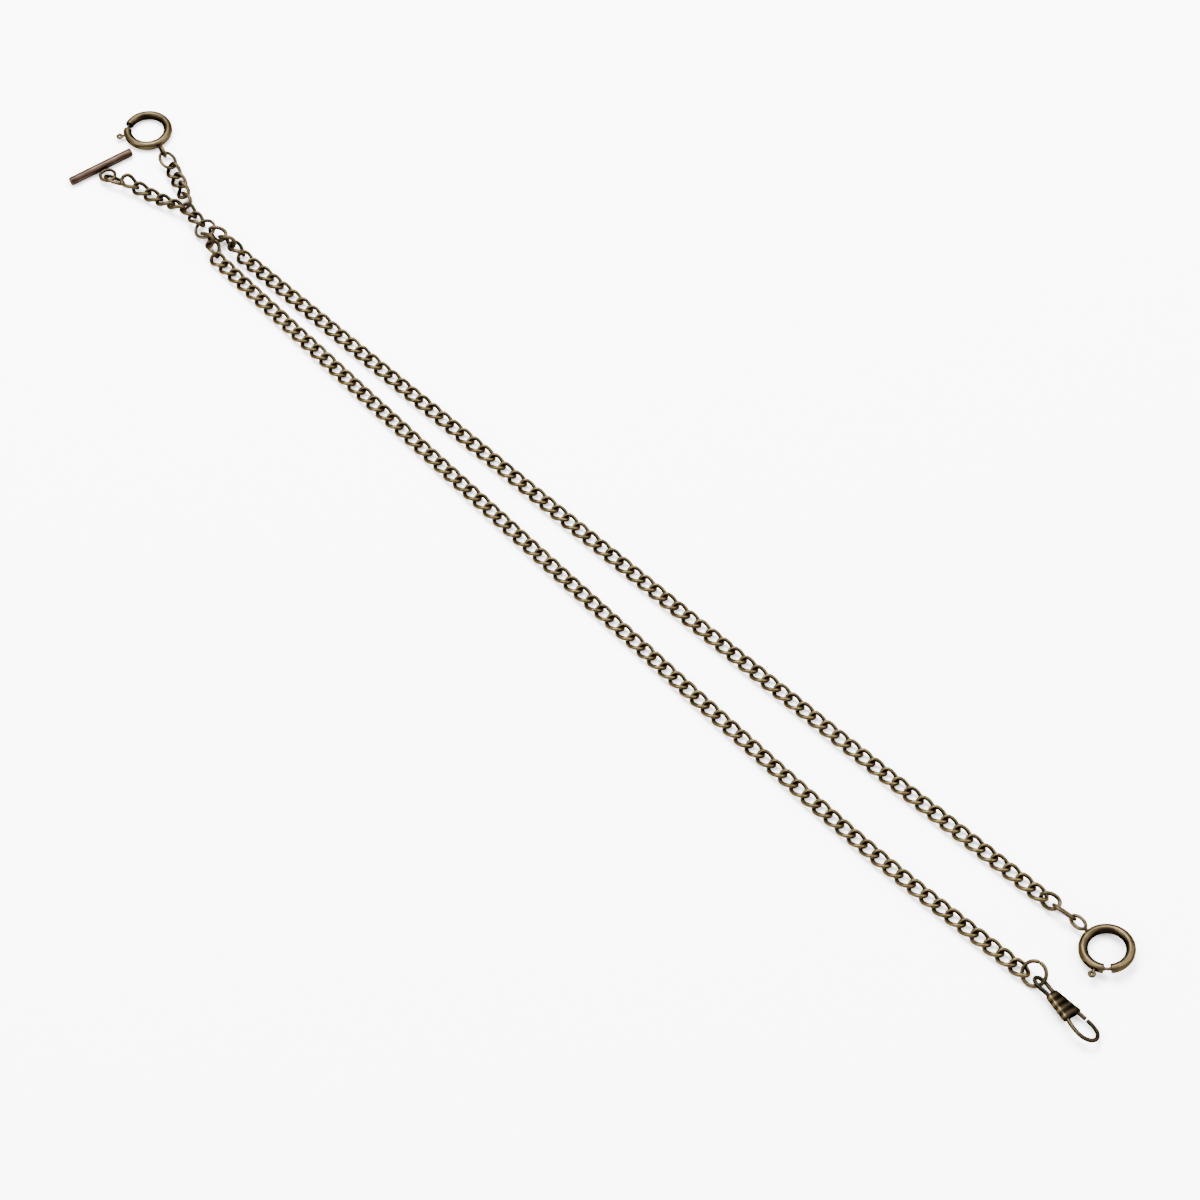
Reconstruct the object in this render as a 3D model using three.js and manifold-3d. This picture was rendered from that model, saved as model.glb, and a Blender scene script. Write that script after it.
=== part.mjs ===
// A double pocket watch chain in antique bronze, laid out on a table. Millimetres, +Z up.
// One centre ring carries two long curb chains, which run along +X, and a short stem that forks into
// two branches along -X. The pieces that a hand works are the T-bar, two spring rings and a watch hook.
import * as THREE from "three";
import { ParametricGeometry } from "three/addons/geometries/ParametricGeometry.js";
import { mergeVertices } from "three/addons/utils/BufferGeometryUtils.js";
import Module from "manifold-3d";

// ---- driving dimensions; every wire is given by its radius ----
const LINK = { halfLength: 2.55, halfWidth: 1.78, twist: 0.7, wire: 0.425 };
const OVAL = { t: [2.9, 1.9], ring1: [3.0, 2.2], ring2: [3.1, 1.7], wire: 0.38 };
const CENTRE_RING = { radius: 2.8, wire: 0.4, seam: 0.2, seamAt: 70 };
const JUMP_RING = { radius: 3.05, wire: 0.4, seam: 0.12, seamAt: 100 };
const BAR = { length: 19.8, radius: 1.24, chamfer: 0.25, sides: 12 };
const BAR_LOOP = { radius: 2.1, wire: 0.38 };
const EYELET = { short: 1.9, long: 2.15, halfWidth: 1.25, wire: 0.38 };
const PEG = { radius: 0.2, length: 0.75 }; // the solder that joins two links inside one run

// Spring ring, in its own plane. Angles are in degrees, counted from the eyelet.
const CASE = { radius: 5.8, tube: 1.22, bore: 0.88, mouth: 131, mouthWidth: 18 };
const BOLT = { rod: 0.52, pin: 0.34, tail: 60, collar: 126, tip: 146, lever: 104, travel: 23 };
const PIN_ROOT = 2; // degrees of the pin that are set into the rod
const LEVER = { stem: 0.36, eyeRadius: 0.62, eyeAt: 8.25 };
const SLOT = { width: 1.25, clearance: 5.8 };
const SPRING = { radius: 0.54, wire: 0.1, turns: 8, from: 8, to: 58, stepsPerTurn: 6 };

// Watch hook, in its own plane, counted along its length from the middle of the bail.
const HOOK_WIRE = 0.42;
const SLEEVE = { start: 3.9, length: 7.6, wall: 0.2, ribs: 4, ribHeight: 0.06, squareness: 0.55 };
const SLEEVE_NARROW = { halfWidth: 1.68, halfHeight: 0.98 };
const SLEEVE_WIDE = { halfWidth: 2.95, halfHeight: 1.04 };
const BAIL_ROUTE = [
  [8.9, -1.65], [6.2, -1.2], [3.6, -0.97], [1.4, -1.2], [-0.3, -1.15], [-1.2, -0.75], [-1.6, 0],
  [-1.2, 0.75], [-0.3, 1.15], [1.4, 1.2], [3.6, 0.97], [6.2, 1.2], [8.9, 1.65], [11.4, 2.1],
  [13.9, 2.35],
];
const ARM_ROUTE = [
  [9.9, -1.55], [12.0, -2.05], [14.6, -2.6], [17.4, -2.45], [19.2, -1.2],
  [19.5, 0.4], [18.5, 1.85], [16.6, 2.4], [14.3, 2.4],
];

// The long chains lie along these lines on the table, and a short piece sits by centre and turn.
const FLAT_HEIGHT = 1.125;
const CHAIN_A = { links: 73, runs: 12, route: [[16.3, 1.2], [148, 4.0], [244, 6.7], [304.2, 9.3]] };
const CHAIN_B = {
  links: 77,
  runs: 12,
  route: [[11.5, -4.6], [78, -6.9], [150.5, -9.2], [223, -11.1], [271, -11.5], [314.7, -9.5]],
};

// Coarse wires keep the long runs light, and the loose pieces are rounder.
const FINE = { steps: 16, sides: 6 };
const LOOSE = { steps: 12, sides: 6 };
const COARSE = { steps: 8, sides: 4 };
const CASE_CUTS = { steps: 20, sides: 8 };
const ROD_CUTS = { steps: 5, sides: 6 };
const EYE_CUTS = { steps: 10, sides: 6 };
const BAIL_CUTS = { steps: 30, sides: 6 };
const ARM_CUTS = { steps: 20, sides: 6 };
const SLEEVE_SIDES = 12;

function metal(color, roughness) {
  return new THREE.MeshStandardMaterial({ color, roughness, metalness: 0.9 });
}
const BRONZE = metal(0x84724a, 0.38);
const DARK_BRONZE = metal(0x5d4f36, 0.45);
const COPPER_BRONZE = metal(0x86664c, 0.36);
const STEEL = metal(0x8c8c88, 0.35);

const radians = THREE.MathUtils.degToRad;
const chain = new THREE.Group();

// ---- placing ----
// centre and [yaw, pitch, roll] in degrees: roll about the piece's length first, then pitch, then yaw
function place(object, [x, y, z], [yaw, pitch, roll]) {
  object.position.set(x, y, z);
  object.rotation.set(radians(roll), radians(pitch), radians(yaw), "ZYX");
  return object;
}

function addPiece(name, geometry, material, at, turn, parent = chain) {
  const piece = new THREE.Mesh(geometry, material);
  piece.name = name;
  parent.add(place(piece, at, turn));
  return piece;
}

// ---- joining and cutting closed solids ----
const wasm = await Module();
wasm.setup();

function solidOf(geometry) {
  const bare = geometry.clone();
  bare.deleteAttribute("normal");
  bare.deleteAttribute("uv");
  const merged = mergeVertices(bare, 1e-4);
  const vertProperties = merged.attributes.position.array;
  const triVerts = new Uint32Array(merged.index.array);
  return new wasm.Manifold(new wasm.Mesh({ numProp: 3, vertProperties, triVerts }));
}

function geometryOf(solid) {
  const mesh = solid.getMesh();
  const geometry = new THREE.BufferGeometry();
  geometry.setAttribute("position", new THREE.BufferAttribute(mesh.vertProperties, 3));
  geometry.setIndex(new THREE.BufferAttribute(mesh.triVerts, 1));
  geometry.computeVertexNormals();
  return geometry;
}

function join(geometries) {
  return geometryOf(geometries.map(solidOf).reduce((whole, next) => whole.add(next)));
}

// ---- wires ----
// The corner radius of a regular section that has the same area as the round wire.
function cornerRadius(wire, sides) {
  return wire * Math.sqrt((2 * Math.PI) / (sides * Math.sin((2 * Math.PI) / sides)));
}

// An oval loop of wire, closed on itself. Its middle line is an ellipse whose height above its plane
// goes as the sine of twice the angle, which is the twist of a curb link. The line is cut into equal
// steps, with corners either side of each high point and a little outside the ellipse, so that the
// loop keeps the size of a smooth one. One flat of the section faces the middle of the loop.
function ovalLoop(halfLength, halfWidth, twist, wire, { steps, sides }) {
  const corner = cornerRadius(wire, sides);
  const spread = 1 / Math.sqrt(Math.cos(Math.PI / steps));
  const lift = 1 / Math.cos((2 * Math.PI) / steps);
  const start = Math.PI / 4 - Math.PI / steps;
  const line = (angle, target) =>
    target.set(
      spread * halfLength * Math.cos(angle),
      spread * halfWidth * Math.sin(angle),
      -lift * twist * Math.sin(2 * angle),
    );
  const [centre, ahead, tangent, side, up] = Array.from({ length: 5 }, () => new THREE.Vector3());
  const surface = (u, v, target) => {
    const angle = start + 2 * Math.PI * (u % 1);
    const round = 2 * Math.PI * ((v % 1) + 0.5 / sides);
    line(angle, centre);
    tangent.subVectors(line(angle + 1e-4, ahead), centre).normalize();
    up.crossVectors(centre, tangent).normalize();
    side.crossVectors(tangent, up);
    target.copy(centre);
    target.addScaledVector(side, corner * Math.cos(round));
    target.addScaledVector(up, corner * Math.sin(round));
  };
  return new ParametricGeometry(surface, steps, sides);
}

function polygon(radius, sides) {
  const points = [];
  for (let i = 0; i < sides; i += 1) {
    const angle = (2 * Math.PI * i) / sides;
    points.push(new THREE.Vector2(radius * Math.cos(angle), radius * Math.sin(angle)));
  }
  return points;
}

// A wire, or a tube when a bore is given, with two cut ends, along any open curve.
function wireAlong(path, wire, { steps, sides }, bore = 0) {
  const section = new THREE.Shape(polygon(cornerRadius(wire, sides), sides));
  if (bore) section.holes.push(new THREE.Path(polygon(bore, sides)));
  return new THREE.ExtrudeGeometry(section, { steps, extrudePath: path, bevelEnabled: false });
}

// An arc in the plane of a ring, between two angles in degrees.
class RingArc extends THREE.Curve {
  constructor(radius, from, to) {
    super();
    Object.assign(this, { radius, from, to });
  }
  getPoint(t, target = new THREE.Vector3()) {
    const angle = radians(this.from + t * (this.to - this.from));
    return target.set(this.radius * Math.cos(angle), this.radius * Math.sin(angle), 0);
  }
}

// The return spring: a helix wound round an arc of the spring ring's middle line.
class RingCoil extends RingArc {
  getPoint(t, target = new THREE.Vector3()) {
    const turn = 2 * Math.PI * SPRING.turns * t;
    const angle = radians(this.from + t * (this.to - this.from));
    const reach = this.radius + SPRING.radius * Math.cos(turn);
    return target.set(
      reach * Math.cos(angle),
      reach * Math.sin(angle),
      SPRING.radius * Math.sin(turn),
    );
  }
}

function splitRing({ radius, wire, seam, seamAt }) {
  const halfSeam = THREE.MathUtils.radToDeg(seam / radius / 2);
  return wireAlong(new RingArc(radius, seamAt + halfSeam, seamAt + 360 - halfSeam), wire, FINE);
}

const oval = ([halfLength, halfWidth]) =>
  ovalLoop(halfLength, halfWidth, 0, OVAL.wire, FINE);
const curbLink = (fineness) =>
  ovalLoop(LINK.halfLength, LINK.halfWidth, LINK.twist, LINK.wire, fineness);

// ---- T-bar ----
function barGeometry() {
  const { length, radius, chamfer, sides } = BAR;
  const half = length / 2;
  const profile = [
    [0, -half], [radius - chamfer, -half], [radius, -half + chamfer],
    [radius, half - chamfer], [radius - chamfer, half], [0, half],
  ].map(([r, z]) => new THREE.Vector2(r, z));
  const turned = new THREE.LatheGeometry(profile, sides);
  return turned.rotateY(Math.PI / sides).rotateZ(-Math.PI / 2);
}

addPiece("t_bar", barGeometry(), COPPER_BRONZE, [-38.05, -6.2, 1.24], [80, 0, 0]);
addPiece(
  "t_bar_loop",
  ovalLoop(BAR_LOOP.radius, BAR_LOOP.radius, 0, BAR_LOOP.wire, FINE),
  BRONZE,
  [-34.2, -6.9, 1.3],
  [-10, -4, 0],
);

// ---- short branches, stem and centre ring ----
addPiece("t_connector", oval(OVAL.t), BRONZE, [-31.35, -6.75, 1.5], [19, 2, -35]);
const T_BRANCH = [
  [[-26.7, -4.6, 2.5], [16, 19, -12]],
  [[-22.95, -3.6, 1.65], [17, 5, -5]],
  [[-19.05, -2.65, 1.4], [18, 2, -7]],
  [[-15.25, -1.45, 1.5], [19, -3, -16]],
  [[-11.45, -0.3, 1.8], [17, -4, -31]],
];
T_BRANCH.forEach(([at, turn], i) =>
  addPiece(`t_branch_link_${i + 1}`, curbLink(LOOSE), BRONZE, at, turn),
);

addPiece("ring_1_connector", oval(OVAL.ring1), BRONZE, [-26.3, 8.85, 1.55], [-20, 3, -17]);
const RING_BRANCH = [
  [[-22.0, 7.3, 1.55], [-22, -1, 15]],
  [[-18.2, 5.95, 1.6], [-15, -5, 13]],
  [[-14.5, 4.35, 2.15], [-25, 3, 48]],
  [[-10.7, 3.15, 2.3], [-27, -15, 96]],
];
RING_BRANCH.forEach(([at, turn], i) =>
  addPiece(`ring_branch_link_${i + 1}`, curbLink(LOOSE), BRONZE, at, turn),
);

addPiece("junction_link", curbLink(LOOSE), BRONZE, [-7.7, 0.95, 1.7], [-6, 4, -18]);
addPiece("stem_link", curbLink(LOOSE), BRONZE, [-3.7, 0.45, 1.65], [-7, -1, -20]);
addPiece("centre_ring", splitRing(CENTRE_RING), DARK_BRONZE, [0.5, -0.1, 1.65], [-2, -6, 15]);
addPiece("chain_a_link_1", curbLink(LOOSE), BRONZE, [4.6, 1.0, 2.2], [15, 0, 52]);
addPiece("chain_a_link_2", curbLink(LOOSE), BRONZE, [8.55, 1.4, 2.35], [7, -4, 101]);
addPiece("chain_a_link_3", curbLink(LOOSE), BRONZE, [12.45, 1.5, 1.95], [0, 5, 151]);
addPiece("chain_b_link_1", curbLink(LOOSE), BRONZE, [4.15, -1.9, 2.25], [-10, -12, 99]);
addPiece("chain_b_link_2", curbLink(LOOSE), BRONZE, [7.9, -3.2, 2.1], [-28, 5, 146]);

// ---- long chains ----
// Links sit at equal steps along the route and turn with it. A run is the links between two bending
// points, joined where they hook into each other by a short peg of solder.
function addChain(name, { links, runs, route }) {
  const line = new THREE.CatmullRomCurve3(
    route.map(([x, y]) => new THREE.Vector3(x, y, FLAT_HEIGHT)),
  );
  const linkGeometry = curbLink(COARSE);
  const pegGeometry = new THREE.CylinderGeometry(PEG.radius, PEG.radius, PEG.length, 3);
  pegGeometry.rotateZ(Math.PI / 2);
  const onRoute = (geometry, place) => {
    const along = place / (links - 1);
    const middle = line.getPointAt(along);
    const { x, y } = line.getTangentAt(along);
    return geometry.clone().rotateZ(Math.atan2(y, x)).translate(...middle);
  };
  for (let run = 0; run < runs; run += 1) {
    const first = Math.round((run * links) / runs);
    const last = Math.round(((run + 1) * links) / runs) - 1;
    const pieces = [];
    for (let i = first; i <= last; i += 1) pieces.push(onRoute(linkGeometry, i));
    for (let i = first; i < last; i += 1) pieces.push(onRoute(pegGeometry, i + 0.5));
    const number = String(run + 1).padStart(2, "0");
    addPiece(`${name}_run_${number}`, join(pieces), BRONZE, [0, 0, 0], [0, 0, 0]);
  }
}

addChain("chain_a", CHAIN_A);
addChain("chain_b", CHAIN_B);

// ---- spring rings ----
// The case is a bent tube with an open mouth. The bolt slides in its bore, and its thumb lever comes
// out through a slot in the outer wall.
function caseGeometry() {
  const { radius, tube, bore, mouth, mouthWidth } = CASE;
  const arc = new RingArc(radius, mouth + mouthWidth / 2, mouth - mouthWidth / 2 + 360);
  const body = wireAlong(arc, tube, CASE_CUTS, bore);
  const from = radians(BOLT.lever - BOLT.travel - SLOT.clearance);
  const to = radians(BOLT.lever + SLOT.clearance);
  const sector = new THREE.Shape();
  sector.absarc(0, 0, radius + 2 * tube, from, to, false);
  sector.absarc(0, 0, radius, to, from, true);
  const cutter = new THREE.ExtrudeGeometry(sector, {
    depth: SLOT.width,
    bevelEnabled: false,
    curveSegments: 6,
  }).translate(0, 0, -SLOT.width / 2);
  return geometryOf(solidOf(body).subtract(solidOf(cutter)));
}

function boltGeometry() {
  const { rod, pin, tail, collar, tip, lever } = BOLT;
  const stemLength = LEVER.eyeAt - LEVER.eyeRadius - CASE.radius;
  const stem = new THREE.CylinderGeometry(LEVER.stem, LEVER.stem, stemLength, 6);
  stem.rotateZ(-Math.PI / 2).translate(CASE.radius + stemLength / 2, 0, 0);
  const eye = ovalLoop(LEVER.eyeRadius, LEVER.eyeRadius, 0, LEVER.stem, EYE_CUTS);
  eye.translate(LEVER.eyeAt, 0, 0);
  return join([
    wireAlong(new RingArc(CASE.radius, tail, collar), rod, ROD_CUTS),
    wireAlong(new RingArc(CASE.radius, collar - PIN_ROOT, tip), pin, ROD_CUTS),
    stem.rotateZ(radians(lever)),
    eye.rotateZ(radians(lever)),
  ]);
}

function springGeometry() {
  const coil = new RingCoil(CASE.radius, SPRING.from, SPRING.to);
  return wireAlong(coil, SPRING.wire, { steps: SPRING.turns * SPRING.stepsPerTurn, sides: 3 });
}

function addSpringRing(number, at, turn) {
  const ring = place(new THREE.Group(), at, turn);
  const name = `spring_ring_${number}`;
  const inPlace = [[0, 0, 0], [0, 0, 0], ring];
  addPiece(`${name}_case`, caseGeometry(), BRONZE, ...inPlace);
  addPiece(`${name}_bolt`, boltGeometry(), BRONZE, ...inPlace);
  addPiece(`${name}_spring`, springGeometry(), STEEL, ...inPlace);
  chain.add(ring);
}

function eyelet(halfLength) {
  return ovalLoop(halfLength, EYELET.halfWidth, 0, EYELET.wire, FINE);
}

addSpringRing(1, [-39.2, 12.2, 1.26], [-14, 0, 180]);
addPiece("spring_ring_1_eyelet", eyelet(EYELET.short), BRONZE, [-30.0, 10.0, 1.7], [-14, 0, 90]);

addPiece("chain_a_end_link", curbLink(LOOSE), BRONZE, [307.9, 9.35, 2.05], [9, -3, 217]);
addPiece("ring_2_connector", oval(OVAL.ring2), BRONZE, [312.4, 9.55, 2.05], [10, 7, 302]);
addPiece("spring_ring_2_eyelet", eyelet(EYELET.long), BRONZE, [316.65, 9.9, 2.0], [-1, -6, 35]);
addSpringRing(2, [326.3, 9.4, 2.08], [180, 8, 0]);

// ---- jump ring and watch hook ----
addPiece("jump_ring", splitRing(JUMP_RING), BRONZE, [318.4, -8.4, 2.2], [2, 1, 36]);

// The sleeve is a flattened tapered tube. Its wall is a closed band: out along the ribbed outside,
// and back along the plain inside. The section is an oval squared towards a rounded box.
function sleeveGeometry() {
  const { start, length, wall, ribs, ribHeight, squareness } = SLEEVE;
  const stations = 2 * ribs;
  const squared = (wave) => Math.sign(wave) * Math.abs(wave) ** squareness;
  const band = [];
  for (let i = 0; i <= stations; i += 1) band.push([i / stations, (i % 2) * ribHeight]);
  band.push([1, -wall], [0, -wall]);
  const surface = (u, v, target) => {
    const [along, swell] = band[Math.round(v * band.length) % band.length];
    const angle = 2 * Math.PI * (u % 1);
    const width = THREE.MathUtils.lerp(SLEEVE_NARROW.halfWidth, SLEEVE_WIDE.halfWidth, along);
    const height = THREE.MathUtils.lerp(SLEEVE_NARROW.halfHeight, SLEEVE_WIDE.halfHeight, along);
    target.set(
      start + length * along,
      (width + swell) * squared(Math.cos(angle)),
      (height + swell) * squared(Math.sin(angle)),
    );
  };
  return new ParametricGeometry(surface, SLEEVE_SIDES, band.length);
}

function hookWire(route, cuts) {
  const line = new THREE.CatmullRomCurve3(
    route.map(([x, y]) => new THREE.Vector3(x, y, 0)),
    false,
    "centripetal",
  );
  return wireAlong(line, HOOK_WIRE, cuts);
}

const hook = place(new THREE.Group(), [320.85, -8.95, 1.7], [-6, -1, -20]);
addPiece("hook_bail", hookWire(BAIL_ROUTE, BAIL_CUTS), BRONZE, [0, 0, 0], [0, 0, 0], hook);
addPiece("hook_arm", hookWire(ARM_ROUTE, ARM_CUTS), BRONZE, [0, 0, 0], [0, 0, 0], hook);
addPiece("hook_sleeve", sleeveGeometry(), DARK_BRONZE, [0, 0, 0], [0, 0, 0], hook);
chain.add(hook);

// The origin is under the middle of the whole chain, on the table.
const extent = new THREE.Box3().setFromObject(chain, true);
const middle = extent.getCenter(new THREE.Vector3());
chain.position.set(-middle.x, -middle.y, -extent.min.z);

export default chain;
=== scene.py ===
# %% [markdown]
# # A double pocket watch chain
# A watch chain of this kind has one centre ring. Two long curb chains run from it to the pockets,
# and a short stem forks into two branches that end in a T-bar for the buttonhole and a spring ring
# for a fob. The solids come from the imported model, so their places and sizes are settled. What is
# left is how the metal looks: round wire, clean link shapes and an antique bronze finish.
#
# Everything below is made from one idea, a wire: a line through space with a round section carried
# along it. Each line is a formula on a numpy array, so no vertex is ever placed by hand.

import bpy
import numpy as np
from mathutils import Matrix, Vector


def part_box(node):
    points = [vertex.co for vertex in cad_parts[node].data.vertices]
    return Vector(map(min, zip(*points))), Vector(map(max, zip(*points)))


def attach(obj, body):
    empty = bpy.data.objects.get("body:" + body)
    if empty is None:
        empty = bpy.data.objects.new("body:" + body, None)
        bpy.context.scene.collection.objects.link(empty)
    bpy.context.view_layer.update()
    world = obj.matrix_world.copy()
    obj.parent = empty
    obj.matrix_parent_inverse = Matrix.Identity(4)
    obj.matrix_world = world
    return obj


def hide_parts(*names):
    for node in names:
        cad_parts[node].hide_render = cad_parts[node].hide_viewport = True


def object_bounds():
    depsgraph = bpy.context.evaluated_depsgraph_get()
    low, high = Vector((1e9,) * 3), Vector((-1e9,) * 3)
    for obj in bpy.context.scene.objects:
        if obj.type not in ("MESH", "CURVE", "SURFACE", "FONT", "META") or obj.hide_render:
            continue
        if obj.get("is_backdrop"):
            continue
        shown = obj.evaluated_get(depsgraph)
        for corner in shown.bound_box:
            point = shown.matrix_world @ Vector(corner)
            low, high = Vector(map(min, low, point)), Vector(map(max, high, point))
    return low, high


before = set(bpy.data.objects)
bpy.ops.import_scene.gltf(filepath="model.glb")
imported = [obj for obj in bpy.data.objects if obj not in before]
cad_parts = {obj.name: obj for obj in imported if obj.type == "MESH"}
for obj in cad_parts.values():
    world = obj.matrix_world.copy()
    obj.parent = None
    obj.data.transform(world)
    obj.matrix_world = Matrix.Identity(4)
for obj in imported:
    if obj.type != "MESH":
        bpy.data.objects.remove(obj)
CAD_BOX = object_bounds()

# %% [markdown]
# The drawing counts lengths from the centre ring, in millimetres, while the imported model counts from
# the middle of the whole chain. The T-bar is a plain turned bar, so the middle of its box is the
# middle of the bar, and the step between the two is the step between the two ways of counting.

# %% Find where the drawing's zero is
T_BAR_AT = np.array([-38.05, -6.2, 1.24])
low, high = (np.array(corner) * 1000 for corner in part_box("t_bar"))
SHIFT = (low + high) / 2 - T_BAR_AT
print("the centre ring's zero is at", SHIFT.round(2), "mm")

# %% [markdown]
# ## Camera
# The chain is seen from above at 57 degrees, from its watch end, with a long lens: the far end looks
# a little smaller than the near end. The camera comes first because everything is judged through it.

# %% Camera
CAMERA_AT = np.array([495.1, -328.7, 708.0])
LOOKS_AT = np.array([167.1, -7.5, 1.0])
LENS = 96.9  # mm, on a sensor 36 mm wide


def aim(thing, start, target):
    """Puts a camera or light at start with its -Z side towards target. Both are in drawing mm."""
    direction = Vector(target - start)
    thing.location = (start + SHIFT) / 1000
    thing.rotation_euler = direction.to_track_quat("-Z", "Y").to_euler()


scene = bpy.context.scene
camera_data = bpy.data.cameras.new("camera")
camera_data.lens = LENS
camera_data.sensor_width = 36.0
camera_data.clip_start = 0.01
camera = bpy.data.objects.new("camera", camera_data)
scene.collection.objects.link(camera)
aim(camera, CAMERA_AT, LOOKS_AT)
scene.camera = camera
print("camera at", [round(v, 3) for v in camera.location])

# %% [markdown]
# ## Floor and light
# Polished metal has almost no colour of its own: it shows what stands round it. A bare white studio
# makes bronze look like cream, so the room is white below and above, where the big soft boxes are,
# and a middling grey at the sides. The wires then get a bright line along the top and dark flanks.

# %% Floor
floor_mesh = bpy.data.meshes.new("floor")
corners = [(x, y, -0.0002) for x, y in ((-4, -4), (4, -4), (4, 4), (-4, 4))]
floor_mesh.from_pydata(corners, [], [(0, 1, 2, 3)])
floor = bpy.data.objects.new("floor", floor_mesh)
scene.collection.objects.link(floor)
floor_paint = bpy.data.materials.new("white_paper")
floor_paint.use_nodes = True
paper = floor_paint.node_tree.nodes["Principled BSDF"]
paper.inputs["Base Color"].default_value = (0.9, 0.9, 0.9, 1)
paper.inputs["Roughness"].default_value = 0.9
paper.inputs["Specular IOR Level"].default_value = 0.1
floor_mesh.materials.append(floor_paint)
floor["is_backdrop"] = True

# %% Lights
world = bpy.data.worlds.new("studio")
world.use_nodes = True
sky = world.node_tree.nodes
backdrop = sky["Background"]
direction = sky.new("ShaderNodeTexCoord")
height = sky.new("ShaderNodeSeparateXYZ")
shade = sky.new("ShaderNodeValToRGB")
low_stop, high_stop = shade.color_ramp.elements
low_stop.position, low_stop.color = 0.1, (0.16, 0.16, 0.17, 1)
high_stop.position, high_stop.color = 0.95, (1, 1, 1, 1)
backdrop.inputs["Strength"].default_value = 3.4
world.node_tree.links.new(direction.outputs["Generated"], height.inputs["Vector"])
world.node_tree.links.new(height.outputs["Z"], shade.inputs["Fac"])
world.node_tree.links.new(shade.outputs["Color"], backdrop.inputs["Color"])
scene.world = world


def soft_box(name, start, size, watts):
    """A square lamp of that size in mm, aimed at the middle of the chain."""
    lamp_data = bpy.data.lights.new(name, "AREA")
    lamp_data.size = size / 1000
    lamp_data.energy = watts
    lamp = bpy.data.objects.new(name, lamp_data)
    scene.collection.objects.link(lamp)
    aim(lamp, np.array(start, float), LOOKS_AT)
    print(name, "is", size, "mm wide and gives", watts, "W")


soft_box("key_light", (-330, 240, 1100), 700, 95)
soft_box("fill_light", (700, 600, 900), 900, 50)
soft_box("back_light", (-200, -700, 800), 500, 22)

# %% [markdown]
# ## Antique bronze
# The finish starts as a dark brown film over brass-coloured plate. Tumbling then rubs it off wherever
# the metal stands proud, and leaves it in the hollows. So the material mixes three metals, dark film,
# bronze and bright metal, and one number per point says which shows. That number is worked out with
# each shape: highest on the outer shoulders of a wire, which meet the tumbling stones first, and lowest
# on the inside of its loop, where nothing reaches. It is also raised along the top and bottom of each
# wire, which is a painted highlight. A blotchy noise shifts it, because no rubbing is even. Fine noise
# gives the roughness and a slight bump, like the skin of drawn and tumbled metal.


# %% The bronze material
def link_up(tree, source, output, target, socket):
    """Joins one node's output to another node's input."""
    tree.links.new(source.outputs[output], target.inputs[socket])


def noise(tree, place, per_mm, detail):
    """Noise with that many blotches per millimetre, read at the given coordinates in metres."""
    node = tree.nodes.new("ShaderNodeTexNoise")
    node.inputs["Scale"].default_value = per_mm * 1000
    node.inputs["Detail"].default_value = detail
    tree.links.new(place, node.inputs["Vector"])
    return node


def ramp(tree, stops):
    """A colour ramp from (position, colour) stops."""
    node = tree.nodes.new("ShaderNodeValToRGB")
    first, last = node.color_ramp.elements
    first.position, first.color = stops[0][0], (*stops[0][1], 1)
    last.position, last.color = stops[-1][0], (*stops[-1][1], 1)
    for position, color in stops[1:-1]:
        node.color_ramp.elements.new(position).color = (*color, 1)
    return node


def sum_of(tree, a, b):
    """The sum of two number sockets."""
    node = tree.nodes.new("ShaderNodeMath")
    node.operation = "ADD"
    tree.links.new(a, node.inputs[0])
    tree.links.new(b, node.inputs[1])
    return node.outputs["Value"]


def swing(tree, source, width):
    """A noise between 0 and 1 made a shift either way: width x noise - width / 2."""
    node = tree.nodes.new("ShaderNodeMath")
    node.operation = "MULTIPLY_ADD"
    link_up(tree, source, "Fac", node, 0)
    node.inputs[1].default_value = width
    node.inputs[2].default_value = -width / 2
    return node.outputs["Value"]


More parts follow.
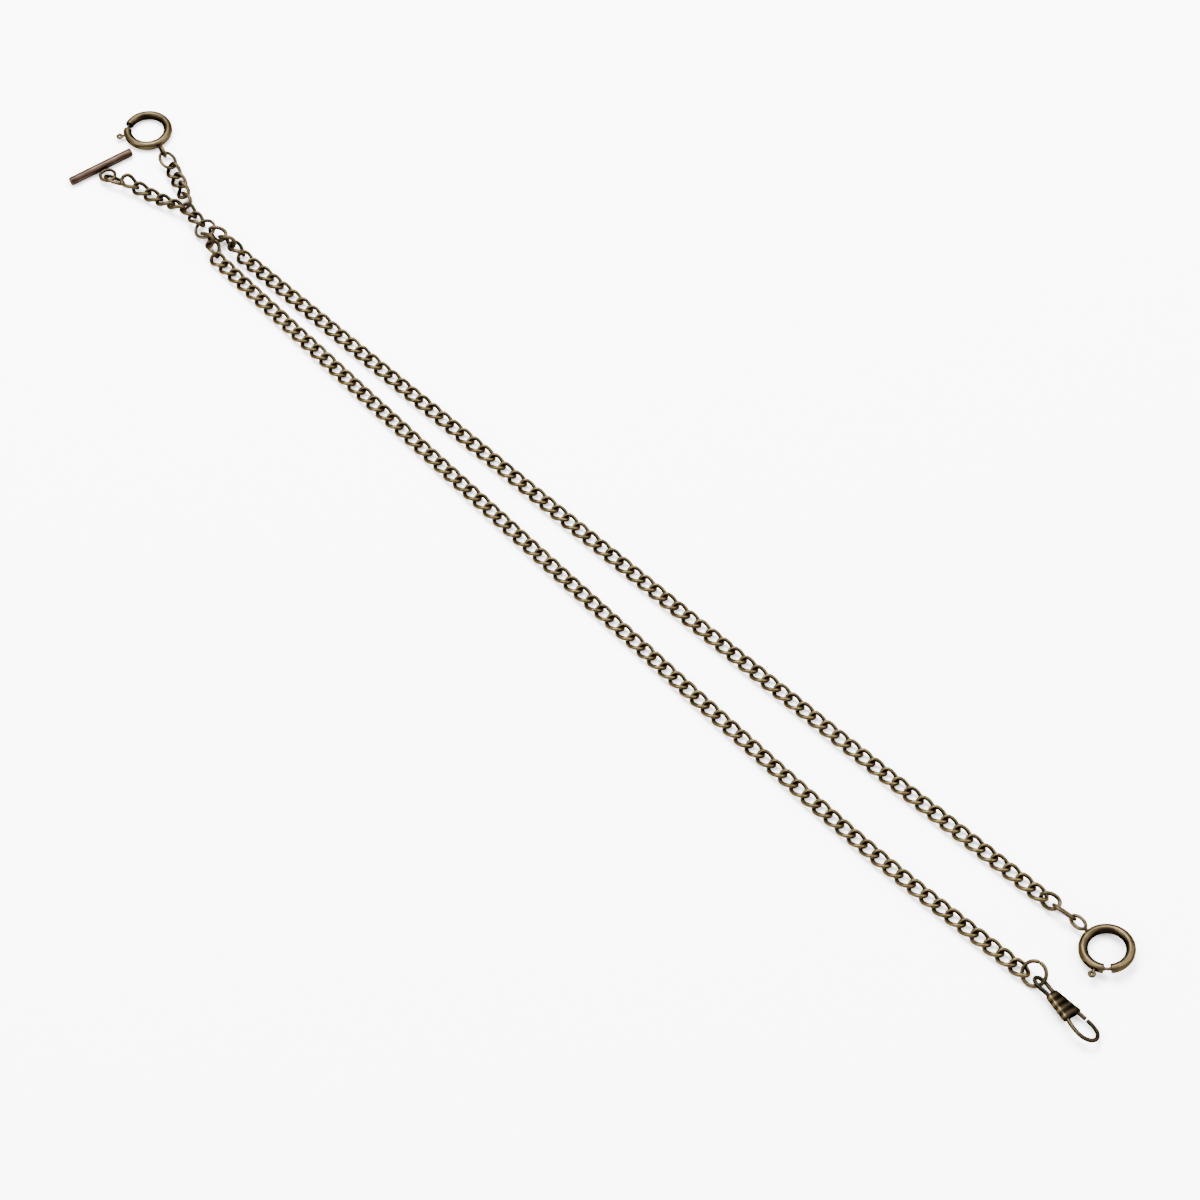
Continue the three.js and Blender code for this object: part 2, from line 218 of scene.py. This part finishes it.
def antique_metal(name, film, body, bright, rough=(0.24, 0.46), grain=None):
    """Dark film in the hollows, body colour between, bright metal where it is rubbed and as a painted
    highlight along wire tops.

    Which colour shows = the point's wear and painted highlight number + blotches + fine specks. A grain
    turns the fine noise
    into scratches: (turn about Z in degrees, how many times longer than wide)."""
    material = bpy.data.materials.new(name)
    material.use_nodes = True
    tree = material.node_tree
    shader = tree.nodes["Principled BSDF"]
    shader.inputs["Metallic"].default_value = 1.0
    shader.inputs["Specular Tint"].default_value = (0.35, 0.28, 0.18, 1)
    place = tree.nodes.new("ShaderNodeTexCoord").outputs["Object"]
    fine_place = place
    if grain:
        turn, stretch = grain
        mapping = tree.nodes.new("ShaderNodeMapping")
        mapping.vector_type = "TEXTURE"
        mapping.inputs["Rotation"].default_value = (0, 0, np.radians(turn))
        mapping.inputs["Scale"].default_value = (stretch, 1, 1)
        tree.links.new(place, mapping.inputs["Vector"])
        fine_place = mapping.outputs["Vector"]
    # the per-point number read here holds wear and a painted highlight along the top of each wire
    wear_and_sheen = tree.nodes.new("ShaderNodeAttribute")
    wear_and_sheen.attribute_name = "wear_and_sheen"
    blotches = swing(tree, noise(tree, place, per_mm=0.35, detail=3), width=0.7)
    specks = swing(tree, noise(tree, fine_place, per_mm=3.0, detail=4), width=0.5)
    wear_and_sheen_level = sum_of(tree, sum_of(tree, wear_and_sheen.outputs["Fac"], blotches), specks)
    color = ramp(tree, [(0.12, film), (0.52, body), (0.95, bright)])
    tree.links.new(wear_and_sheen_level, color.inputs["Fac"])
    link_up(tree, color, "Color", shader, "Base Color")
    skin = noise(tree, fine_place, per_mm=5.0, detail=5)
    roughness = tree.nodes.new("ShaderNodeMapRange")
    for socket, value in zip(("From Min", "From Max", "To Min", "To Max"), (0.3, 0.7, *rough)):
        roughness.inputs[socket].default_value = value
    link_up(tree, skin, "Fac", roughness, "Value")
    link_up(tree, roughness, "Result", shader, "Roughness")
    bump = tree.nodes.new("ShaderNodeBump")
    bump.inputs["Strength"].default_value = 0.35
    bump.inputs["Distance"].default_value = 0.00003
    link_up(tree, skin, "Fac", bump, "Height")
    link_up(tree, bump, "Normal", shader, "Normal")
    print("finish", name)
    return material


BRONZE = antique_metal(
    "antique_bronze", (0.0015, 0.0011, 0.0007), (0.011, 0.0079, 0.0043), (0.037, 0.027, 0.0135)
)
RUBBED_BRONZE = antique_metal(
    "rubbed_antique_bronze", (0.002, 0.0015, 0.001), (0.016, 0.0113, 0.0054), (0.054, 0.039, 0.018)
)
DARK_BRONZE = antique_metal(
    "dark_antique_bronze", (0.0014, 0.0011, 0.0008), (0.012, 0.0088, 0.005), (0.046, 0.034, 0.0175)
)
TURNED_BRONZE = antique_metal(
    "turned_bronze", (0.003, 0.002, 0.0015), (0.016, 0.0102, 0.0072), (0.04, 0.027, 0.0185),
    grain=(80, 14),
)
SPRING_STEEL = antique_metal(
    "spring_steel", (0.02, 0.02, 0.02), (0.08, 0.08, 0.078), (0.2, 0.2, 0.19), rough=(0.2, 0.35)
)

# %% [markdown]
# ## Wire
# A wire is a tube. Its section is a circle in the plane square to the line, spanned by a side
# direction and a lift direction. Taking the side as line direction x given up, and the lift as
# side x line direction, keeps the section from spinning as it travels, as long as up is smooth.
# A shape here is a set of points, the four-sided faces between them, any flat end faces, and a number
# per point for wear and painted highlight.


# %% Tubes and meshes
def unit(vectors):
    """Each row scaled to length 1."""
    return vectors / np.linalg.norm(vectors, axis=-1, keepdims=True)


def grid_faces(rows, columns, closed):
    """Faces of a grid whose columns wrap round, and whose rows wrap too when closed.

    Face (i, j) has corners (i, j), (i+1, j), (i+1, j+1), (i, j+1)."""
    i = np.arange(rows if closed else rows - 1)[:, None]
    j = np.arange(columns)[None, :]
    ahead = (i + 1) % rows
    beside = (j + 1) % columns
    corners = [i * columns + j, ahead * columns + j, ahead * columns + beside, i * columns + beside]
    return np.stack(np.broadcast_arrays(*corners), -1).reshape(-1, 4)


def tube(line, up, wire, sides, closed):
    """A round wire of radius wire along a line of points. Point (i, j) is
    line[i] + wire * (side[i] cos(angle j) + lift[i] sin(angle j)).

    The last number per point is a middle value plus a share of cos(angle j), which is 1 on the outside
    of a loop and
    -1 on its inside (wear, and film kept inside the loop), plus a share of the size of sin(angle j),
    which is 1 at the top and bottom (a painted highlight along the wire)."""
    travel = np.roll(line, -1, 0) - np.roll(line, 1, 0) if closed else np.gradient(line, axis=0)
    side = unit(np.cross(travel, up))
    lift = unit(np.cross(side, travel))
    angle = np.linspace(0, 2 * np.pi, sides, endpoint=False)
    wave = np.cos(angle)[None, :, None], np.sin(angle)[None, :, None]
    radius = np.broadcast_to(wire, len(line))[:, None, None]
    points = line[:, None] + radius * (side[:, None] * wave[0] + lift[:, None] * wave[1])
    # outer side lighter, inner side darker: wear and film; top and bottom lighter, flanks darker:
    # painted highlight
    wear_and_sheen_by_angle = 0.42 + 0.32 * np.cos(angle) + 0.30 * np.abs(np.sin(angle))
    wear_and_sheen = np.broadcast_to(wear_and_sheen_by_angle, (len(line), sides))
    faces = grid_faces(len(line), sides, closed)
    first, last = np.arange(sides), np.arange(sides) + (len(line) - 1) * sides
    ends = [] if closed else [first.tolist(), last[::-1].tolist()]
    return points.reshape(-1, 3), faces, ends, wear_and_sheen.reshape(-1)


def loop(half_length, half_width, twist, wire, steps, sides):
    """A closed oval of wire: x = a cos t, y = b sin t, z = -twist sin 2t, with up = line x travel."""
    t = np.linspace(0, 2 * np.pi, steps, endpoint=False)
    line = np.stack([half_length * np.cos(t), half_width * np.sin(t), -twist * np.sin(2 * t)], 1)
    travel = np.roll(line, -1, 0) - np.roll(line, 1, 0)
    return tube(line, unit(np.cross(line, travel)), wire, sides, True)


def turn_matrix(yaw, pitch, roll):
    """Roll about X, then pitch about Y, then yaw about Z, in degrees."""
    (sy, sp, sr), (cy, cp, cr) = (f(np.radians([yaw, pitch, roll])) for f in (np.sin, np.cos))
    about_z = np.array([[cy, -sy, 0], [sy, cy, 0], [0, 0, 1]])
    about_y = np.array([[cp, 0, sp], [0, 1, 0], [-sp, 0, cp]])
    about_x = np.array([[1, 0, 0], [0, cr, -sr], [0, sr, cr]])
    return about_z @ about_y @ about_x


def placed(shape, at, turn=(0, 0, 0)):
    """The shape turned, then moved to its place in the drawing."""
    points, faces, ends, wear_and_sheen = shape
    return points @ turn_matrix(*turn).T + np.array(at), faces, ends, wear_and_sheen


def together(shapes):
    """Several shapes as one, each still closed by itself."""
    starts = np.cumsum([0] + [len(shape[0]) for shape in shapes])
    points = np.concatenate([shape[0] for shape in shapes])
    faces = np.concatenate([shape[1] + start for shape, start in zip(shapes, starts)])
    ends = [
        (np.array(end) + start).tolist() for shape, start in zip(shapes, starts) for end in shape[2]
    ]
    return points, faces, ends, np.concatenate([shape[3] for shape in shapes])


def add_piece(node, body, material, shape):
    """Makes the mesh in metres, gives it its finish and its number for wear and painted highlight, and
    lets it stand for a CAD node.
    """
    points, faces, ends, wear_and_sheen = shape
    mesh = bpy.data.meshes.new(node + "_wire")
    mesh.from_pydata(((points + SHIFT) / 1000).tolist(), [], faces.tolist() + ends)
    mesh.polygons.foreach_set("use_smooth", [True] * len(faces) + [False] * len(ends))
    # stores the per-point number for wear and painted highlight that the metal's colour ramp reads
    mesh.attributes.new("wear_and_sheen", "FLOAT", "POINT").data.foreach_set("value", wear_and_sheen.astype(np.float32))
    mesh.materials.append(material)
    piece = bpy.data.objects.new(node + "_wire", mesh)
    scene.collection.objects.link(piece)
    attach(piece, body)
    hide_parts(node)
    return piece


# %% [markdown]
# ## Curb links
# A curb link starts as a plain oval, and is then twisted until it lies flat against its neighbours.
# The twist is a height that goes as the sine of twice the angle: up, down, up, down round the loop.
# It makes each link pass over the one before on one side and under it on the other.

# %% Loose links
LINK = {"half_length": 2.55, "half_width": 1.78, "twist": 0.7, "wire": 0.56}
LOOSE_LINKS = {
    "t_branch_link_1": ([-26.7, -4.6, 2.5], [16, 19, -12]),
    "t_branch_link_2": ([-22.95, -3.6, 1.65], [17, 5, -5]),
    "t_branch_link_3": ([-19.05, -2.65, 1.4], [18, 2, -7]),
    "t_branch_link_4": ([-15.25, -1.45, 1.5], [19, -3, -16]),
    "t_branch_link_5": ([-11.45, -0.3, 1.8], [17, -4, -31]),
    "ring_branch_link_1": ([-22.0, 7.3, 1.55], [-22, -1, 15]),
    "ring_branch_link_2": ([-18.2, 5.95, 1.6], [-15, -5, 13]),
    "ring_branch_link_3": ([-14.5, 4.35, 2.15], [-25, 3, 48]),
    "ring_branch_link_4": ([-10.7, 3.15, 2.3], [-27, -15, 96]),
    "junction_link": ([-7.7, 0.95, 1.7], [-6, 4, -18]),
    "stem_link": ([-3.7, 0.45, 1.65], [-7, -1, -20]),
    "chain_a_link_1": ([4.6, 1.0, 2.2], [15, 0, 52]),
    "chain_a_link_2": ([8.55, 1.4, 2.35], [7, -4, 101]),
    "chain_a_link_3": ([12.45, 1.5, 1.95], [0, 5, 151]),
    "chain_b_link_1": ([4.15, -1.9, 2.25], [-10, -12, 99]),
    "chain_b_link_2": ([7.9, -3.2, 2.1], [-28, 5, 146]),
    "chain_a_end_link": ([307.9, 9.35, 2.05], [9, -3, 217]),
}
loose_link = loop(*LINK.values(), 40, 14)
for name, (at, turn) in LOOSE_LINKS.items():
    add_piece(name, name, BRONZE, placed(loose_link, at, turn))
print(len(LOOSE_LINKS), "loose links of", len(loose_link[1]), "faces")

# %% [markdown]
# The long chains lie nearly straight on the table, along a smooth line through a few points. Links
# sit at equal steps along that line. With a hundred and fifty of them, each link has few faces, and
# smooth shading makes it look round. One mesh holds the links of one run, which is attached to one
# body.


# %% A smooth line through points
def smooth_line(knots, per_span, bend=0.5):
    """A centripetal Catmull-Rom curve. Knot times grow by distance to the power bend, and each span
    is the pyramid of straight blends between its four nearest knots, all spans at once."""
    knots = np.array(knots, float)
    knots = np.vstack([2 * knots[0] - knots[1], knots, 2 * knots[-1] - knots[-2]])
    times = np.concatenate([[0], np.cumsum(np.linalg.norm(np.diff(knots, axis=0), axis=1) ** bend)])
    spans = len(knots) - 3
    share = np.linspace(0, 1, per_span, endpoint=False)[None, :, None]
    p = [knots[k : k + spans, None] for k in range(4)]
    s = [times[k : k + spans, None, None] for k in range(4)]
    now = s[1] + share * (s[2] - s[1])

    def blend(a, b, start, end):
        return (end - now) / (end - start) * a + (now - start) / (end - start) * b

    first = [blend(p[k], p[k + 1], s[k], s[k + 1]) for k in range(3)]
    second = [blend(first[k], first[k + 1], s[k], s[k + 2]) for k in range(2)]
    line = blend(second[0], second[1], s[1], s[2]).reshape(-1, knots.shape[1])
    return np.vstack([line, knots[-2]])


# %% Long chains
FLAT_HEIGHT = 1.125  # mm from the table to the middle of a link that lies flat
LONG_CHAINS = {  # how many links, in how many runs, through which points
    "chain_a": (73, 12, [[16.3, 1.2], [148, 4.0], [244, 6.7], [304.2, 9.3]]),
    "chain_b": (
        77,
        12,
        [[11.5, -4.6], [78, -6.9], [150.5, -9.2], [223, -11.1], [271, -11.5], [314.7, -9.5]],
    ),
}
run_link = loop(*LINK.values(), 20, 8)


def links_along(line, count):
    """Equal steps along a line: centres, and the turn of the line at each."""
    lengths = np.concatenate([[0], np.cumsum(np.linalg.norm(np.diff(line, axis=0), axis=1))])
    steps = np.linspace(0, lengths[-1], count)
    x, y = (np.interp(steps, lengths, line[:, k]) for k in (0, 1))
    slope = np.gradient(line, axis=0)
    heading = np.interp(steps, lengths, np.degrees(np.arctan2(slope[:, 1], slope[:, 0])))
    return np.stack([x, y, np.full(count, FLAT_HEIGHT)], 1), heading


for name, (count, runs, route) in LONG_CHAINS.items():
    centres, headings = links_along(smooth_line(route, 60), count)
    edges = np.round(np.arange(runs + 1) * count / runs + 1e-9).astype(int)
    for run in range(runs):
        node = f"{name}_run_{run + 1:02d}"
        members = range(edges[run], edges[run + 1])
        shapes = [placed(run_link, centres[k], (headings[k], 0, 0)) for k in members]
        add_piece(node, node, RUBBED_BRONZE, together(shapes))
    pitch = np.linalg.norm(np.diff(centres, axis=0), axis=1).mean()
    print(name, count, "links,", round(float(pitch), 3), "mm apart")

# %% [markdown]
# ## Rings and ovals of wire
# The centre ring and the jump ring are bent from round wire and left with a fine seam where the ends
# meet, so they are open wires that almost close. The ovals beside the fittings are soldered shut,
# and each eyelet has a short neck of solder that holds it to the case of its spring ring.


# %% Split rings, ovals and eyelets
def arc(radius, start, stop, steps):
    """Points of a circle in its own plane, between two angles in degrees."""
    t = np.radians(np.linspace(start, stop, steps))
    return np.stack([radius * np.cos(t), radius * np.sin(t), np.zeros(steps)], 1)


UP = np.array([0.0, 0.0, 1.0])


def split_ring(radius, wire, seam, seam_at, steps=64, edge=0.82):
    """An arc of wire that stops half a seam short at each end, where it thins to edge x wire."""
    gap = np.degrees(seam / radius / 2)
    line = arc(radius, seam_at + gap, seam_at + 360 - gap, steps)
    rounding = np.ones(steps)
    rounding[[0, -1]] = edge
    return tube(line, UP, wire * rounding, 16, False)


FINE_LOOP = (48, 16)
OVAL_WIRE = 0.48
add_piece(
    "centre_ring", "centre_ring", DARK_BRONZE,
    placed(split_ring(2.8, 0.5, 0.2, 70), [0.5, -0.1, 1.65], [-2, -6, 15]),
)
add_piece(
    "jump_ring", "jump_ring", BRONZE,
    placed(split_ring(3.05, 0.52, 0.12, 100), [318.4, -8.4, 2.2], [2, 1, 36]),
)
OVALS = {
    "t_connector": ("t_connector", 2.9, 1.9, [-31.35, -6.75, 1.5], [19, 2, -35]),
    "ring_1_connector": ("ring_1_connector", 3.0, 2.2, [-26.3, 8.85, 1.55], [-20, 3, -17]),
    "ring_2_connector": ("ring_2_connector", 3.1, 1.7, [312.4, 9.55, 2.05], [10, 7, 302]),
    "spring_ring_1_eyelet": ("spring_ring_1", 2.0, 1.25, [-30.0, 10.0, 1.7], [-14, 0, 90]),
    "spring_ring_2_eyelet": ("spring_ring_2", 2.2, 1.25, [316.65, 9.9, 2.0], [-1, -6, 35]),
    "t_bar_loop": ("t_bar", 2.1, 2.1, [-34.2, -6.9, 1.3], [-10, -4, 0]),
}
NECKS = {  # from the eyelet's wire to just inside the case
    "spring_ring_1_eyelet": ([-31.9, 10.47, 1.7], [-33.3, 10.8, 1.35]),
    "spring_ring_2_eyelet": ([318.8, 9.86, 2.2], [320.2, 9.45, 1.45]),
}
for node, (body, half_length, half_width, at, turn) in OVALS.items():
    shape = placed(loop(half_length, half_width, 0, OVAL_WIRE, *FINE_LOOP), at, turn)
    if node in NECKS:
        shape = together([shape, tube(np.linspace(*NECKS[node], 6), UP, OVAL_WIRE, 16, False)])
    add_piece(node, body, BRONZE, shape)
print(2 + len(OVALS), "rings and ovals")

# %% [markdown]
# ## T-bar
# The bar is turned on a lathe: a straight rod with its two edges broken. On a lathe the tool leaves
# fine lines, and handling leaves long scratches, so its finish uses noise stretched along the bar.


# %% T-bar
def turned(profile, sides):
    """A profile of (along, radius) pairs spun about X, with flat faces at both ends."""
    along, radius = np.array(profile, float).T
    line = np.stack([along, 0 * along, 0 * along], 1)
    return tube(line, UP, radius, sides, False)


def rounded_rod(length, radius, edge, steps=5):
    """Profile of a rod whose edges are quarter circles of radius edge."""
    t = np.linspace(0, np.pi / 2, steps)
    corner = np.stack([edge * np.sin(t), radius - edge * (1 - np.cos(t))], 1)
    end = np.stack([length / 2 - edge + corner[:, 0], corner[:, 1]], 1)
    start = (end * [-1, 1])[::-1]
    along = np.linspace(-length / 2 + edge, length / 2 - edge, 12)[1:-1]
    middle = np.stack([along, np.full(len(along), radius)], 1)
    return np.vstack([start, middle, end])


BAR = {"length": 19.8, "radius": 1.24, "edge": 0.22}
BAR_SIDES = 40
bar_profile = rounded_rod(*BAR.values())
bar = turned(bar_profile, BAR_SIDES)
# rubbed half way along its length, and nearly bright on the broken edges
is_edge = bar_profile[:, 1] < BAR["radius"] - 0.005
bar_rub = np.repeat(np.where(is_edge, 0.92, 0.50), BAR_SIDES)
add_piece("t_bar", "t_bar", TURNED_BRONZE, placed((*bar[:3], bar_rub), T_BAR_AT, (80, 0, 0)))
print("T-bar with", len(bar[1]), "faces")

# %% [markdown]
# ## Spring rings
# The case is a thin tube bent into a ring with a mouth. A bolt slides inside it, pushed shut by a
# coil spring, and a thumb lever comes out through a slot. The case is made as a bent sheet: an outer
# skin and an inner skin with the slot's faces left out of both, and a wall wherever a skin has an
# open edge. That closes the mouth ends and the slot in one step.

# %% Spring ring case
CASE = {"radius": 5.8, "tube": 1.22, "bore": 0.88, "mouth": 131, "mouth_width": 18}
BOLT = {"rod": 0.56, "pin": 0.42, "tail": 60, "collar": 126, "tip": 146, "lever": 104, "travel": 23}
LEVER = {"wire": 0.43, "stem_end": 7.65, "eye_radius": 0.62, "eye_at": 8.2}
SLOT_HALF_WIDTH = 0.62
SLOT_CLEARANCE = 5.8  # degrees that the slot is longer than the lever's travel, at each end


def bent_tube_with_slot(steps=150, sides=32):
    """Outer and inner skins on the same grid, joined by walls along every open edge."""
    start = CASE["mouth"] + CASE["mouth_width"] / 2 - 360
    stop = CASE["mouth"] - CASE["mouth_width"] / 2
    degrees = np.linspace(start, stop, steps)
    line = arc(CASE["radius"], start, stop, steps)
    from_mouth = np.minimum(degrees - start, stop - degrees)
    lip = np.minimum(1, 0.93 + 0.35 * from_mouth)  # the lip is turned in a little
    outer, faces, _, wear_and_sheen = tube(line, UP, CASE["tube"] * lip, sides, False)
    inner, _, _, _ = tube(line, UP, CASE["bore"], sides, False)
    middle = outer[faces].mean(1)
    angle = np.degrees(np.arctan2(middle[:, 1], middle[:, 0]))
    in_slot = angle > BOLT["lever"] - BOLT["travel"] - SLOT_CLEARANCE
    in_slot &= angle < BOLT["lever"] + SLOT_CLEARANCE
    in_slot &= np.abs(middle[:, 2]) < SLOT_HALF_WIDTH
    in_slot &= np.hypot(middle[:, 0], middle[:, 1]) > CASE["radius"]
    skin = faces[~in_slot]
    a, b = skin.reshape(-1), np.roll(skin, -1, 1).reshape(-1)
    count = len(outer)
    open_edge = ~np.isin(a * count + b, b * count + a)
    a, b = a[open_edge], b[open_edge]
    walls = np.stack([b, a, a + count, b + count], 1)
    shape_faces = np.concatenate([skin, skin[:, ::-1] + count, walls])
    return np.concatenate([outer, inner]), shape_faces, [], np.concatenate([wear_and_sheen, 0 * inner[:, 0]])


case = bent_tube_with_slot()
print("spring ring case with", len(case[1]), "faces")

# %% [markdown]
# The bolt is a bent rod that steps down to a thin pin across the mouth. Its lever is a short stem
# with an eye of the same wire, which a thumbnail draws back. The spring is a helix wound round the
# same circle as the case, so its line is the circle plus a small circle that turns as it goes.


# %% Bolt, lever and spring
def bolt():
    """The rod along the case's circle, the radial stem, and the lever's eye."""
    degrees = np.linspace(BOLT["tail"], BOLT["tip"], 70)
    is_pin = degrees > BOLT["collar"]
    wire = np.where(is_pin, BOLT["pin"], BOLT["rod"])
    wire[[0, -1]] *= 0.7
    rod = tube(arc(CASE["radius"], BOLT["tail"], BOLT["tip"], 70), UP, wire, 16, False)
    stem_line = np.linspace([CASE["radius"], 0, 0], [LEVER["stem_end"], 0, 0], 8)
    stem = tube(stem_line, UP, LEVER["wire"], 14, False)
    radius = LEVER["eye_radius"]
    eye = placed(loop(radius, radius, 0, LEVER["wire"], 28, 12), [LEVER["eye_at"], 0, 0])
    lever = placed(together([stem, eye]), [0, 0, 0], (BOLT["lever"], 0, 0))
    return together([rod, lever])


def coil(turns=8, start=8, stop=58, radius=0.54, wire=0.1, steps=260):
    """Distance from the ring's centre = R + r cos(turn), height = r sin(turn)."""
    t = np.linspace(0, 1, steps)
    turn, angle = 2 * np.pi * turns * t, np.radians(start + (stop - start) * t)
    outward = np.stack([np.cos(angle), np.sin(angle), 0 * angle], 1)
    across = outward * np.cos(turn)[:, None] + UP * np.sin(turn)[:, None]
    return tube(CASE["radius"] * outward + radius * across, across, wire, 8, False)


SPRING_RINGS = {1: ([-39.2, 12.2, 1.26], [-14, 0, 180]), 2: ([326.3, 9.4, 2.08], [180, 8, 0])}
for number, (at, turn) in SPRING_RINGS.items():
    ring = f"spring_ring_{number}"
    add_piece(ring + "_case", ring, BRONZE, placed(case, at, turn))
    add_piece(ring + "_bolt", ring + "_bolt", BRONZE, placed(bolt(), at, turn))
    add_piece(ring + "_spring", ring, SPRING_STEEL, placed(coil(), at, turn))
    print(ring, "at", at)

# %% [markdown]
# ## Watch hook
# The hook is two bent wires held in a flattened, ribbed sleeve. One wire makes the bail at the
# chain's end and comes out of the sleeve as a short stub. The other is the springy arm that closes
# on the stub. Both lie in one plane, so their up direction is the same all along.

# %% Bail and arm
BAIL_ROUTE = [
    [8.9, -1.65], [6.2, -1.2], [3.6, -0.97], [1.4, -1.2], [-0.3, -1.15], [-1.2, -0.75], [-1.6, 0],
    [-1.2, 0.75], [-0.3, 1.15], [1.4, 1.2], [3.6, 0.97], [6.2, 1.2], [8.9, 1.65], [11.4, 2.1],
    [13.9, 2.35],
]
ARM_ROUTE = [
    [9.9, -1.55], [12.0, -2.05], [14.6, -2.6], [17.4, -2.45], [19.2, -1.2],
    [19.5, 0.4], [18.5, 1.85], [16.6, 2.4], [14.3, 2.4],
]
HOOK_PLACE = ([320.85, -8.95, 1.7], [-6, -1, -20])
HOOK_WIRE = 0.54
HOOK_WEAR = 0.65  # the hook wire has kept more of its dark film than the links


def hook_wire(route):
    """A flat bent wire with its end edges broken."""
    flat = smooth_line(route, 12)
    line = np.column_stack([flat, np.zeros(len(flat))])
    wire = np.full(len(line), HOOK_WIRE)
    wire[[0, -1]] *= 0.8
    points, faces, ends, wear_and_sheen = tube(line, UP, wire, 16, False)
    return points, faces, ends, HOOK_WEAR * wear_and_sheen


add_piece("hook_bail", "watch_hook", BRONZE, placed(hook_wire(BAIL_ROUTE), *HOOK_PLACE))
add_piece("hook_arm", "hook_arm", BRONZE, placed(hook_wire(ARM_ROUTE), *HOOK_PLACE))
print("hook wires done")

# %% [markdown]
# The sleeve is stamped from thin sheet: narrow at the bail, wide at the hook, with ribs across it.
# Its section is an oval squared towards a rounded box, which is a cosine and a sine raised to a power
# below 1 with their signs kept. The wall is a closed band: out along the ribs, round the mouth, and
# back along the plain inside, so the grid wraps both ways and nothing is left open.

# %% Sleeve
SLEEVE = {"start": 3.9, "length": 7.6, "wall": 0.2, "ribs": 4, "rib_height": 0.06, "square": 0.55}
NARROW, WIDE = (1.68, 0.98), (2.95, 1.04)  # half width and half height at the two ends
SKIN_DEPTH, EDGE_DEPTH = 0.02, 0.08  # how far the skin between ribs and the two edges lie below that


def sleeve(outside=61, inside=20, sides=56):
    """Along the outside the skin swells as sin squared, one swell for each rib."""
    share = np.concatenate([np.linspace(0, 1, outside), np.linspace(1, 0, inside)])
    ribs = SLEEVE["rib_height"] * np.sin(np.pi * SLEEVE["ribs"] * share) ** 2
    is_outside = np.arange(len(share)) < outside
    swell = np.where(is_outside, ribs - SKIN_DEPTH, -SLEEVE["wall"])
    swell[[0, outside - 1]] = -EDGE_DEPTH
    angle = -np.linspace(0, 2 * np.pi, sides, endpoint=False)
    squared = [np.sign(w) * np.abs(w) ** SLEEVE["square"] for w in (np.cos(angle), np.sin(angle))]
    width = NARROW[0] + (WIDE[0] - NARROW[0]) * share + swell
    height = NARROW[1] + (WIDE[1] - NARROW[1]) * share + swell
    along = (SLEEVE["start"] + SLEEVE["length"] * share)[:, None] + np.zeros(sides)
    grid = np.stack([along, width[:, None] * squared[0], height[:, None] * squared[1]], -1)
    crest = np.where(is_outside, 0.2 + 0.55 * ribs / SLEEVE["rib_height"], 0.0)
    wear_and_sheen = np.broadcast_to(crest[:, None], (len(share), sides))
    return grid.reshape(-1, 3), grid_faces(len(share), sides, True), [], wear_and_sheen.reshape(-1)


sleeve_shape = sleeve()
add_piece("hook_sleeve", "watch_hook", DARK_BRONZE, placed(sleeve_shape, *HOOK_PLACE))
print("sleeve with", len(sleeve_shape[1]), "faces")

# %% [markdown]
# ## Measure and finish
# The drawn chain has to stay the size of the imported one, so both boxes are written down side by side.


# %% Sizes
def as_lists(box):
    """A box's two corners as plain lists of numbers."""
    return [[float(value) for value in corner] for corner in box]


sizes = {"cad": as_lists(CAD_BOX), "visual": as_lists(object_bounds())}
for name, (start, end) in sizes.items():
    print(name, "box in mm:", [round(1000 * (e - s), 2) for s, e in zip(start, end)])
